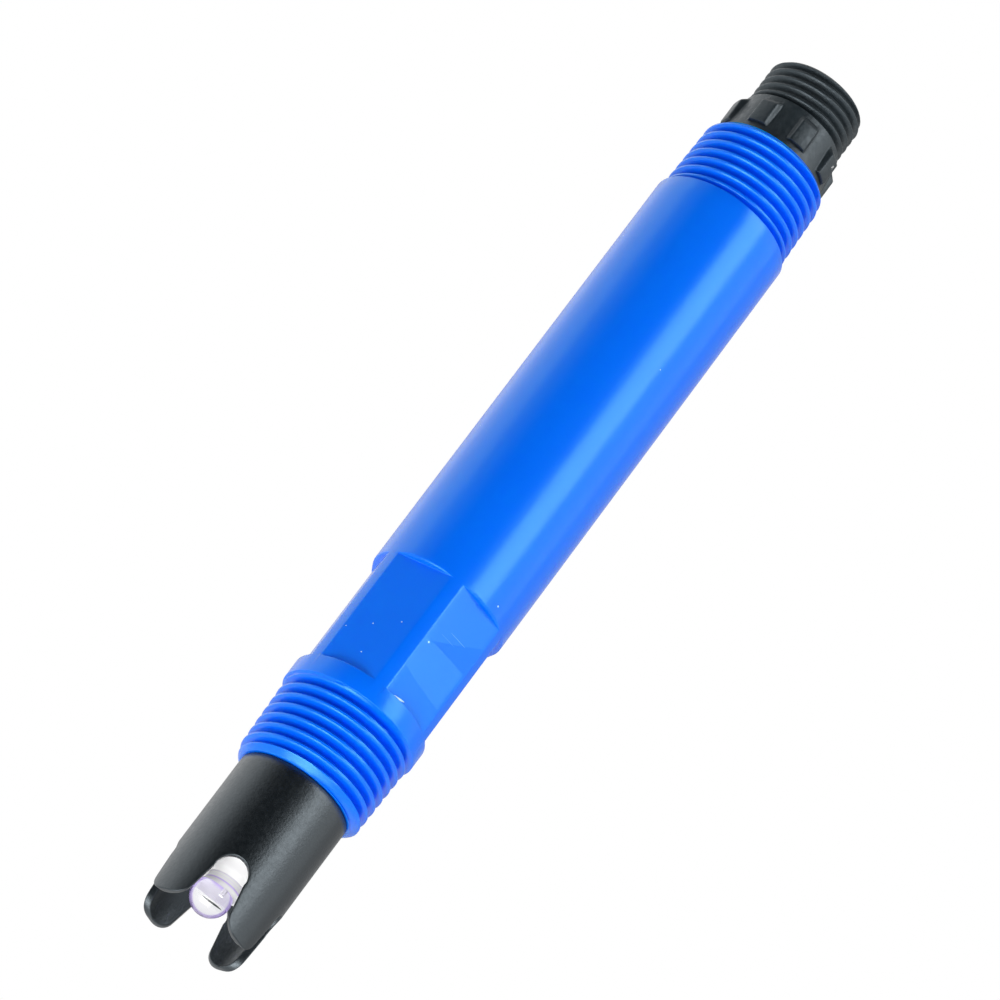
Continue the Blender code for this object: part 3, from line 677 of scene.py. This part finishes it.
def lower_radius(z, share):
    radius = pipe_radius(z, share, LOWER_CREST_R, 0.0, BODY_FOOT_R, BODY_FOOT)
    return max(radius, BARREL_R - EDGE_ROUND + RUN_OUT_SLOPE * z)


def upper_radius(z, share):
    radius = pipe_radius(z, share, UPPER_CREST_R, BARREL_TOP, BODY_HEAD_R, BODY_HEAD)
    return max(radius, BARREL_R - EDGE_ROUND - RUN_OUT_SLOPE * (z - BARREL_TOP))


def make_body(material):
    """The blue moulding: threads, collar, wrench flats, barrel and bore."""
    angles = body_angles()
    bm = bmesh.new()
    foot_ring = (BODY_FOOT_R, BODY_FOOT + BODY_FOOT_RISE)
    collar_ring = (BARREL_R - EDGE_ROUND, 0.0)
    barrel_ring = (BARREL_R - EDGE_ROUND, BARREL_TOP)
    head_ring = (BODY_HEAD_R, BODY_HEAD)
    stack(bm, angles, [(BODY_BORE_R, BODY_FOOT), (BODY_FOOT_R - BODY_FOOT_BREAK, BODY_FOOT), foot_ring])
    thread_band(bm, angles, PIPE_PITCH, 0.0, foot_ring, collar_ring, lower_radius)
    rows = [
        (BARREL_R - EDGE_ROUND * (1 - math.sin(t)), EDGE_ROUND * (1 - math.cos(t)))
        for t in quarter(EDGE_STEPS)
    ]
    rows += end_wall(COLLAR_TOP, -1, LOWER_BROW)
    low, high = COLLAR_TOP + 2 * WALL_FILLET, FLAT_TOP - 2 * WALL_FILLET
    rows += [(flat_radius, mix(low, high, k / FLAT_ROWS)) for k in range(FLAT_ROWS + 1)]
    rows += end_wall(FLAT_TOP, 1, UPPER_BROW)
    low, high = FLAT_TOP + 1.5 * UPPER_BROW, BARREL_TOP - EDGE_ROUND
    rows += [(BARREL_R, mix(low, high, k / BARREL_ROWS)) for k in range(BARREL_ROWS + 1)]
    rows += [
        (BARREL_R - EDGE_ROUND * (1 - math.cos(t)), BARREL_TOP - EDGE_ROUND * (1 - math.sin(t)))
        for t in quarter(EDGE_STEPS)[1:]
    ]
    stack(bm, angles, rows)
    upper_crest_z = BARREL_TOP + UPPER_CREST_PHASE
    thread_band(bm, angles, PIPE_PITCH, upper_crest_z, barrel_ring, head_ring, upper_radius)
    stack(bm, angles, [head_ring, (BODY_BORE_R, BODY_HEAD), (BODY_BORE_R, BODY_FOOT)])
    add_piece(bm, "body_shell", material, "sensor_body", smooth_angle=35.0)


def slot_edge():
    """One side of a slot from its root to the tip, as (half width, z, normal x, normal z)."""
    points = []
    steps_round, steps_wall, steps_corner = 14, 10, 12
    centre_z = SLOT_ROOT - SLOT_END_R
    for k in range(steps_round + 1):
        a = math.radians(90) - (math.radians(90) + SLOT_FLARE) * k / steps_round
        out_x, out_z = math.cos(a), math.sin(a)
        points.append((SLOT_END_R * out_x, centre_z + SLOT_END_R * out_z, out_x, out_z))
    corner_z = GUARD_TIP + TINE_CORNER_R
    start_x, start_z, wall_nx, wall_nz = points[-1]
    corner_x = start_x + (start_z - corner_z) * math.tan(SLOT_FLARE)
    corner_x += TINE_CORNER_R / math.cos(SLOT_FLARE)
    corner = []
    for k in range(steps_corner + 1):
        a = math.pi + SLOT_FLARE + (math.pi / 2 - SLOT_FLARE) * k / steps_corner
        out_x, out_z = math.cos(a), math.sin(a)
        x, z = corner_x + TINE_CORNER_R * out_x, corner_z + TINE_CORNER_R * out_z
        corner.append((x, z, -out_x, -out_z))
    for k in range(1, steps_wall):
        share = k / steps_wall
        x, z = mix(start_x, corner[0][0], share), mix(start_z, corner[0][1], share)
        points.append((x, z, wall_nx, wall_nz))
    return points + corner


def lip_levels():
    """Levels through the wall at a cut edge, as (depth from the outside, set back from the edge)."""
    outer = [(LIP * (1 - math.cos(t)), LIP * (1 - math.sin(t))) for t in quarter(LIP_STEPS)]
    inner = [(GUARD_WALL - LIP * (1 - math.sin(t)), LIP * (1 - math.cos(t))) for t in quarter(LIP_STEPS)]
    return outer + inner


def tine_point(slot_index, side, half, depth):
    """Angle round the axis and radius of a point on a slot's side wall."""
    radius = GUARD_R - depth
    off = math.pi / 4
    if half > radius * math.sin(off):
        radius = half / math.sin(off)
    else:
        off = math.asin(half / radius)
    return FRONT + SLOT_TURN + slot_index * TAU / SLOT_COUNT + side * off, radius


def tine_row(slot_index, edge_point, level):
    """Points across one tine at a height, as (angle, radius, z)."""
    half, z, normal_x, normal_z = edge_point
    depth, back = level
    start, radius = tine_point(slot_index, 1, half + normal_x * back, depth)
    end, _ = tine_point(slot_index + 1, -1, half + normal_x * back, depth)
    shares = [c / TINE_COLUMNS for c in range(TINE_COLUMNS + 1)]
    return [(mix(start, end, share), radius, z + normal_z * back) for share in shares]


def place(bm, point):
    angle, radius, z = point
    return bm.verts.new((radius * math.cos(angle), radius * math.sin(angle), z))


def add_tine(bm, slot_index, edge, levels):
    """One tine: its rounded cut edge, then its outer and inner faces row by row."""
    loops = []
    for level in levels:
        rows = [tine_row(slot_index, point, level) for point in edge]
        outline = [row[0] for row in rows] + rows[-1][1:-1] + [row[-1] for row in rows[::-1]]
        loops.append([place(bm, point) for point in outline])
    for first, second in zip(loops, loops[1:]):
        for i in range(len(first) - 1):
            add_face(bm, first[i], first[i + 1], second[i + 1], second[i])
    for loop, level in ((loops[0], levels[0]), (loops[-1], levels[-1])):
        previous = loop[len(edge) - 1:len(edge) + TINE_COLUMNS]
        for s in range(len(edge) - 2, -1, -1):
            middle = [place(bm, point) for point in tine_row(slot_index, edge[s], level)[1:-1]]
            row = [loop[s]] + middle + [loop[-1 - s]]
            for c in range(TINE_COLUMNS):
                add_face(bm, previous[c], previous[c + 1], row[c + 1], row[c])
            previous = row


def ring_groove(node, wall_r):
    """Rows of the groove that holds an O-ring, up the outside of a shank."""
    low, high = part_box(node)
    foot, top = low.z - GROOVE_SPARE, high.z + GROOVE_SPARE
    return [(wall_r, foot), (GROOVE_FLOOR_R, foot), (GROOVE_FLOOR_R, top), (wall_r, top)]


def make_guard(material):
    """Black slotted guard with rounded cut edges, and the shank that goes up inside the body."""
    bm = bmesh.new()
    edge = slot_edge()
    levels = lip_levels()
    for k in range(SLOT_COUNT):
        add_tine(bm, k, edge, levels)
    columns = SLOT_COUNT * TINE_COLUMNS
    angles = [a + SLOT_TURN for a in even_angles(columns)]
    lip_z = SLOT_ROOT + LIP
    top_z = GUARD_SHOULDER - EDGE_BREAK
    rows = [(GUARD_R, mix(lip_z, top_z, k / GUARD_ROWS)) for k in range(GUARD_ROWS + 1)]
    rows += [(GUARD_R - EDGE_BREAK, GUARD_SHOULDER), (SHANK_R, GUARD_SHOULDER)]
    rows += ring_groove("guard_oring_lower", SHANK_R)
    rows += ring_groove("guard_oring_upper", SHANK_R)
    rows += [
        (SHANK_R, SHANK_TOP),
        (SHANK_CHAMBER_R, SHANK_TOP),
        (SHANK_CHAMBER_R, HEAD_CHAMBER_TOP),
        (HEAD_CHAMBER_R, HEAD_CHAMBER_TOP),
        (HEAD_CHAMBER_R, GUARD_LEDGE),
        (GUARD_R - GUARD_WALL, GUARD_LEDGE),
        (GUARD_R - GUARD_WALL, lip_z),
    ]
    stack(bm, angles, rows)
    add_piece(bm, "slotted_guard", material, "tip_guard", smooth_angle=50.0)


def make_junction(material):
    """White porous ring with its tapered nose, and the seat of its O-ring on top."""
    ring_low, ring_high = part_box("junction_oring")
    seat_r = ring_high.x + GROOVE_SPARE
    seat_z = ring_low.z - GROOVE_SPARE
    profile = [
        (JUNCTION_HOLE_R, NOSE_FOOT),
        (NOSE_TIP_R - EDGE_BREAK, NOSE_FOOT),
        (NOSE_TIP_R, NOSE_FOOT + EDGE_BREAK),
        *((NOSE_ROOT_R + out * MM, SLOT_ROOT - drop * MM) for out, drop in NOSE_FILLET),
        (JUNCTION_R - EDGE_BREAK, SLOT_ROOT),
        (JUNCTION_R, SLOT_ROOT + EDGE_BREAK),
        (JUNCTION_R, JUNCTION_TOP),
        (seat_r, JUNCTION_TOP),
        (seat_r, seat_z),
        (JUNCTION_HOLE_R, seat_z),
        (JUNCTION_HOLE_R, NOSE_FOOT),
    ]
    bm = bmesh.new()
    stack(bm, even_angles(ROUND_COLUMNS), profile)
    add_piece(bm, "junction_ring", material, "reference_junction")


def glass_rows(radius, end_angle, steps):
    """Rows of the bulb's outside or inside from its foot up, as (radius, z, shift)."""
    rows = []
    for k in range(1, steps + 1):
        a = math.radians(-90) + (math.radians(90) + end_angle) * k / steps
        rows.append((radius * math.cos(a), BULB_CENTRE + radius * math.sin(a), BULB_OFFSET))
    return rows


def make_glass(material, wet_material, painted_light_material):
    """Blown bulb on its stem. Its wet inner wall hardly bends light. The shoulder and stem are painted
    opaque white, standing in for the light seen through the clear glass.
    """
    columns = even_angles(ROUND_COLUMNS)
    cavity_r = BULB_R - BULB_WALL
    outside = glass_rows(BULB_R, BULB_SHOULDER, BULB_STEPS)
    shoulder_r, shoulder_z, _ = outside[-1]
    for k in range(1, SHOULDER_STEPS + 1):
        share = k / SHOULDER_STEPS
        ease = smooth_share(share)
        shift = mix(BULB_OFFSET, BULB_OFFSET * STEM_LEAN, ease)
        outside.append((mix(shoulder_r, STEM_R, ease), mix(shoulder_z, STEM_FOOT, share), shift))
    outside += [(STEM_R, NOSE_FOOT - GROOVE_SPARE, 0.0), (STEM_R, STEM_TOP, 0.0)]
    inside = glass_rows(cavity_r, math.acos(STEM_BORE_R / cavity_r), CAVITY_STEPS)
    inside += [(STEM_BORE_R, NOSE_FOOT + NECK_LENGTH, 0.0), (STEM_BORE_R, STEM_TOP, 0.0)]
    bm = bmesh.new()
    tops = []
    for radius, rows in ((BULB_R, outside), (cavity_r, inside)):
        rings = []
        for r, z, shift in rows:
            rings.append([bm.verts.new((shift + r * math.cos(a), r * math.sin(a), z)) for a in columns])
        for low, high in zip(rings, rings[1:]):
            bridge(bm, low, high)
        foot = bm.verts.new((BULB_OFFSET, 0.0, BULB_CENTRE - radius))
        for i, vertex in enumerate(rings[0]):
            add_face(bm, foot, rings[0][(i + 1) % len(columns)], vertex)
        tops.append(rings[-1])
    bridge(bm, *tops)
    piece = add_piece(
        bm, "glass_bulb_and_stem", material, "glass_electrode", smooth_angle=60.0
    )
    piece.visible_shadow = False
    piece.data.materials.append(wet_material)
    # The shoulder and stem take the painted white glass, standing in for the light seen through them.
    piece.data.materials.append(painted_light_material)
    centre = Vector((BULB_OFFSET, 0.0, BULB_CENTRE))
    for face in piece.data.polygons:
        in_bulb = (face.center - centre).length < BULB_R - 0.5 * BULB_WALL
        near_axis = face.center.xy.length < 0.5 * (STEM_R + STEM_BORE_R)
        in_bore = near_axis and face.center.z > BULB_CENTRE
        if in_bulb or in_bore:
            face.material_index = 1
        elif face.center.z > SHOULDER_Z:
            face.material_index = 2


def lug_share(angle):
    """How far the section stands out on a lug at this angle, 0 to 1."""
    step = TAU / LUG_COUNT
    off = (angle - FRONT - LUG_TURN + step / 2) % step - step / 2
    return smooth_share((LUG_HALF + LUG_EDGE / 2 - abs(off)) / LUG_EDGE)


def ring_radius(z):
    """Radius of the tapered ring between its lugs."""
    return mix(RING_FOOT_R, RING_TOP_R, (z - RING_FOOT) / (RING_TOP - RING_FOOT))


def lug_row(lift, z):
    base = ring_radius(z)
    return (lambda a: mix(base, LUG_R, lift * lug_share(a)), z)


def connector_angles():
    """Even columns, and more down the flanks of the lugs."""
    extra = []
    for k in range(LUG_COUNT):
        middle = FRONT + LUG_TURN + TAU * k / LUG_COUNT
        for side in (-1, 1):
            for n in range(LUG_EDGE_STEPS + 1):
                extra.append(middle + side * (LUG_HALF + LUG_EDGE * (n / LUG_EDGE_STEPS - 0.5)))
    return merged_angles(CONNECTOR_COLUMNS, extra, CONNECTOR_COLUMNS_CLOSEST)


def plug_radius(z, share):
    radius = PLUG_THREAD_R - PLUG_THREAD_DEPTH * thread_form(share, PLUG_CREST_FLAT, PLUG_ROOT_FLAT)
    return min(radius, PLUG_THREAD_R - PLUG_END_STEP + (CONNECTOR_TOP - z) * PLUG_END_SLOPE)


def make_connector(material):
    """Black connector moulding: grooved shank, tapered ring with grip lugs, threaded socket."""
    bm = bmesh.new()
    angles = connector_angles()
    rows = [(SEAT_BORE_R, PLUG_SHANK_FOOT), (SHANK_R, PLUG_SHANK_FOOT)]
    rows += ring_groove("connector_oring", SHANK_R)
    rows += [(SHANK_R, RING_FOOT), (RING_FOOT_R - EDGE_BREAK, RING_FOOT)]
    rows += [(RING_FOOT_R, RING_FOOT + EDGE_BREAK)]
    rows += [lug_row(lift, LUG_LOW + rise * MM) for lift, rise in LUG_FOOT_ROWS]
    rows += [lug_row(1.0, mix(LUG_LOW, LUG_HIGH, share)) for share in LUG_FACE_SHARES]
    rows += [lug_row(lift, mix(LUG_HIGH, LUG_END, share)) for lift, share in LUG_TOP_ROWS]
    thread_foot = (RING_TOP_R - EDGE_ROUND, RING_TOP)
    thread_top = (PLUG_THREAD_R - PLUG_END_STEP, CONNECTOR_TOP)
    rows += [(RING_TOP_R, RING_TOP - EDGE_ROUND), thread_foot]
    stack(bm, angles, rows)
    first_crest = RING_TOP + PLUG_THREAD_PHASE
    thread_band(bm, angles, PLUG_THREAD_PITCH, first_crest, thread_foot, thread_top, plug_radius)
    socket = [
        thread_top,
        (SOCKET_R + EDGE_BREAK, CONNECTOR_TOP),
        (SOCKET_R, CONNECTOR_TOP - EDGE_BREAK),
        (SOCKET_R, SOCKET_SEAT),
        (SEAT_BORE_R, SOCKET_SEAT),
        (SEAT_BORE_R, PLUG_SHANK_FOOT),
    ]
    stack(bm, angles, socket)
    add_piece(
        bm, "connector_moulding", material, "connector_shell", smooth_angle=38.0
    )


def dress_nodes():
    """Materials for the nodes that keep their solids."""
    rubber = plastic("seal_rubber", grey(0.02), 0.7, spread=0.2, grain_depth=0.04 * MM)
    silver = plastic("silver_chloride", (0.82, 0.8, 0.86), 0.6, spread=0.04, grain=3000.0)
    insulation = plastic("lead_insulation", (0.5, 0.05, 0.04), 0.45, spread=0.06)
    ceramic = plastic("element_ceramic", (0.8, 0.78, 0.72), 0.5, spread=0.04)
    plug = plastic("plug_plastic", (0.3, 0.3, 0.32), 0.5, grain=2000.0, grain_depth=0.03 * MM)
    resin = plastic(
        "potting_resin", (0.05, 0.05, 0.055), 0.28, spread=0.2, grain=900.0, grain_depth=0.03 * MM
    )
    insert = plastic("insert_plastic", (0.06, 0.06, 0.065), 0.45, spread=0.1, grain_depth=0.04 * MM)
    gold = make_metal("contact_gold", (0.9, 0.65, 0.25), 0.25)
    orings = ("junction_oring", "guard_oring_lower", "guard_oring_upper", "connector_oring")
    leads = ("measuring_lead", "reference_lead", "temperature_lead_1", "temperature_lead_2")
    dressed = (
        (rubber, (*orings, "stem_stopper")),
        (silver, ("measuring_wire", "reference_wire")),
        (insulation, leads),
        (ceramic, ("temperature_element",)),
        (plug, ("chamber_plug",)),
        (resin, ("potting",)),
        (insert, ("connector_insert",)),
        (gold, ("contact_1", "contact_2", "contact_3", "contact_4")),
    )
    for material, names in dressed:
        for name in names:
            for material_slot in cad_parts[name].material_slots:
                material_slot.material = material


# Light, as radiance where 1 is white. Azimuth 0 is the front, 90 is +X
FLOOR_Z = -1.5
FLOOR_HALF = 6.0
FLOOR_SEEN_GLOW = 0.6
WORLD_DIFFUSE = 0.18
WORLD_RING_SHARE = 0.4
WORLD_GLOSS = (
    (-180, 0.8),
    (-140, 1.0),
    (-85, 1.0),
    (-64, 0.5),
    (-46, 0.02),
    (10, 0.0),
    (26, 0.2),
    (60, 0.45),
    (90, 0.6),
    (140, 0.5),
    (180, 0.8),
)
LAMPS = (
    ("key_right", 42, 26, 1.0, 0.5, 1.0, 3.9),
    ("wing_right", 77, 26, 1.0, 0.75, 1.0, 0.72),
    ("side_left", -115, 15, 1.0, 1.3, 1.2, 0.5),
    ("low_front", -29, -57, 0.7, 0.52, 0.36, 4.5),
    ("below", 10, -62, 0.7, 0.5, 0.5, 2.1),
)
OBJECT_MIDDLE = Vector((0.0, 0.0, 42.0)) * MM


def make_floor():
    """Pale floor far below the sensor, which its process thread holds up."""
    bm = bmesh.new()
    bmesh.ops.create_grid(bm, x_segments=1, y_segments=1, size=FLOOR_HALF)
    mesh = bpy.data.meshes.new("floor")
    bm.to_mesh(mesh)
    bm.free()
    material = plastic("floor_white", grey(0.9), 0.8, spread=0.02, grain=300.0, grain_depth=0.05 * MM)
    nodes, links = material.node_tree.nodes, material.node_tree.links
    rays = nodes.new("ShaderNodeLightPath").outputs
    seen = add_math(nodes, links, "MAXIMUM", rays["Is Camera Ray"], rays["Is Glossy Ray"])
    seen = add_math(nodes, links, "MAXIMUM", seen, rays["Is Transmission Ray"])
    glow = add_math(nodes, links, "MULTIPLY", seen, FLOOR_SEEN_GLOW)
    nodes["Principled BSDF"].inputs["Emission Color"].default_value = (1.0, 1.0, 1.0, 1.0)
    links.new(glow, nodes["Principled BSDF"].inputs["Emission Strength"])
    mesh.materials.append(material)
    floor = bpy.data.objects.new("floor", mesh)
    floor.location.z = FLOOR_Z
    bpy.context.scene.collection.objects.link(floor)


def make_world():
    """White where it is seen. In gloss it is white round a dark front. It lights at a lower level."""
    world = bpy.data.worlds.new("studio")
    bpy.context.scene.world = world
    world.use_nodes = True
    nodes, links = world.node_tree.nodes, world.node_tree.links
    where = nodes.new("ShaderNodeTexCoord")
    parts = nodes.new("ShaderNodeSeparateXYZ")
    links.new(where.outputs["Generated"], parts.inputs["Vector"])
    behind = add_math(nodes, links, "MULTIPLY", parts.outputs["Y"], -1.0)
    azimuth = add_math(nodes, links, "ARCTAN2", parts.outputs["X"], behind)
    turned = add_math(nodes, links, "DIVIDE", azimuth, TAU)
    share = add_math(nodes, links, "ADD", turned, 0.5)
    brightest = max(level for _, level in WORLD_GLOSS)
    stops = [((degrees + 180) / 360, grey(level / brightest)) for degrees, level in WORLD_GLOSS]
    ring = add_math(nodes, links, "MULTIPLY", add_ramp(nodes, links, share, stops), brightest)
    rays = nodes.new("ShaderNodeLightPath").outputs
    part = add_math(nodes, links, "MULTIPLY", ring, WORLD_RING_SHARE)
    soft = add_math(nodes, links, "ADD", part, WORLD_DIFFUSE)
    lit = add_math(nodes, links, "SUBTRACT", ring, soft)
    gloss = add_math(nodes, links, "MULTIPLY", lit, rays["Is Glossy Ray"])
    level = add_math(nodes, links, "ADD", gloss, soft)
    seen = add_math(nodes, links, "MAXIMUM", rays["Is Camera Ray"], rays["Is Transmission Ray"])
    unseen = add_math(nodes, links, "SUBTRACT", 1.0, seen)
    hidden = add_math(nodes, links, "MULTIPLY", level, unseen)
    strength = add_math(nodes, links, "ADD", hidden, seen)
    background = nodes["Background"]
    background.inputs["Color"].default_value = (1.0, 1.0, 1.0, 1.0)
    links.new(strength, background.inputs["Strength"])


def add_lamp(name, azimuth, elevation, distance, width, height, radiance):
    """A soft box aimed at the sensor."""
    a, e = math.radians(azimuth), math.radians(elevation)
    towards = Vector((math.sin(a) * math.cos(e), -math.cos(a) * math.cos(e), math.sin(e)))
    data = bpy.data.lights.new(name, "AREA")
    data.shape = "RECTANGLE"
    data.size = width
    data.size_y = height
    data.energy = radiance * math.pi * width * height
    lamp = bpy.data.objects.new(name, data)
    lamp.location = OBJECT_MIDDLE + towards * distance
    lamp.rotation_mode = "QUATERNION"
    lamp.rotation_quaternion = towards.to_track_quat("Z", "Y")
    bpy.context.scene.collection.objects.link(lamp)


make_camera()
make_body(make_blue())
guard_black = black_plastic(
    "guard_black",
    (0.003, 0.0045, 0.006),
    roughness=0.37,
    specular=0.93,
    grain=2600.0,
    grain_depth=0.12 * MM,
)
make_guard(guard_black)
make_junction(plastic("junction_white", grey(0.95), 0.55, spread=0.02, grain_depth=0.03 * MM))
clear_glass = make_glass_material("clear_glass", ior=1.48, rim_start=0.4, rim_end=0.48)
wet_glass = make_glass_material("wet_glass", ior=1.01, rim_start=0.225, rim_end=0.255)
# The shoulder and stem get painted white glass with painted lavender rim lines.
make_glass(clear_glass, wet_glass, make_painted_light_glass())
connector_black = black_plastic(
    "connector_black",
    (0.012, 0.018, 0.022),
    roughness=0.44,
    specular=0.7,
    scratches=LUG_SCRATCHES,
    roughness_spread=0.1,
    grain=2000.0,
    grain_depth=0.15 * MM,
)
make_connector(connector_black)
dress_nodes()
make_floor()
make_world()
for lamp in LAMPS:
    add_lamp(*lamp)
bpy.context.scene.view_settings.view_transform = "Standard"
